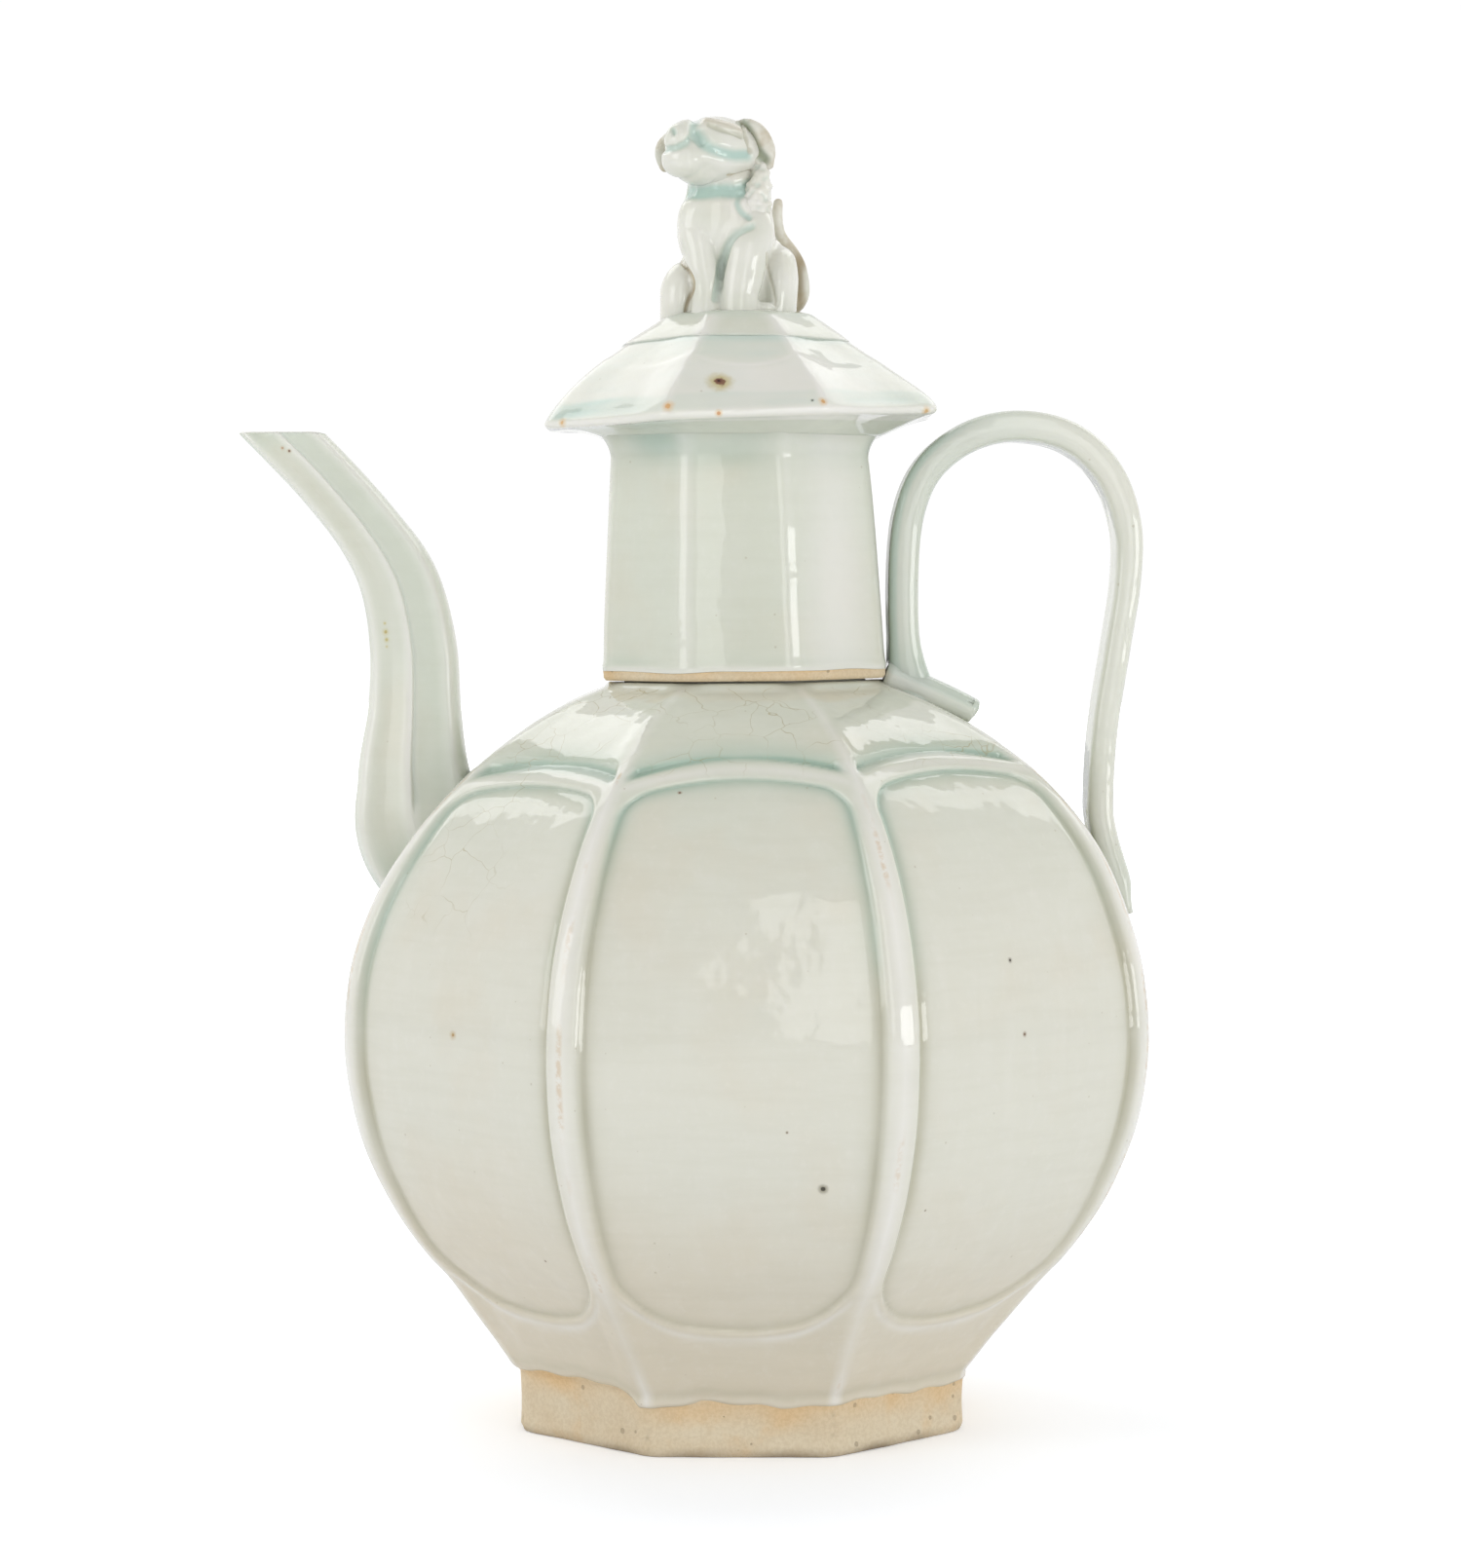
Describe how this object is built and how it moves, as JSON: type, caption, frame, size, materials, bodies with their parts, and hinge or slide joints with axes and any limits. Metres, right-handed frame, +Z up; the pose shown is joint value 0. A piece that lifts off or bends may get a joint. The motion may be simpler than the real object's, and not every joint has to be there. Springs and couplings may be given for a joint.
{
  "type": "wine ewer",
  "caption": "Octagonal glazed porcelain wine ewer with raised ribs, curved spout, strap handle and a tall lift-off sleeve cover topped by a seated lion.",
  "frame": {"origin": "bottom centre of the overall box: on the plane the foot stands on, midway between the spout's tip and the handle's back; the vessel's own axis is 10.4 mm from it towards the handle, along +X", "axes": "+Z up along the vessel's axis and the way the cover lifts off; -X the way the spout points, +X towards the handle; -Y the front flat face of the octagon, with the spout on its left"},
  "size_m": [0.1674, 0.1442, 0.2412],
  "materials": {
    "celadon_glaze": "gloss, pale green-white glaze, pooling blue-green in the grooves",
    "bare_clay": "matt, unglazed buff with orange flashing",
    "toasted_clay": "satin, thinly glazed brownish buff"
  },
  "bodies": {
    "ewer": {"foot_ring": "bare_clay", "body_lower": "celadon_glaze", "body_upper": "celadon_glaze", "neck": "celadon_glaze", "spout": "celadon_glaze", "handle": "celadon_glaze"},
    "cover": {"cover_sleeve": "celadon_glaze", "cover_roof": "celadon_glaze", "roof_crown": "celadon_glaze", "lion_torso": "celadon_glaze", "lion_head": "celadon_glaze", "lion_left_ear": "toasted_clay", "lion_right_ear": "toasted_clay", "lion_mane": "celadon_glaze", "lion_left_foreleg": "celadon_glaze", "lion_right_foreleg": "celadon_glaze", "lion_left_haunch": "celadon_glaze", "lion_right_haunch": "celadon_glaze", "lion_tail": "toasted_clay"}
  },
  "joints": [
    {"name": "cover_lift", "type": "slide", "parent": "ewer", "child": "cover", "axis": [0, 0, 1], "range_m": [0, 0.055]}
  ]
}
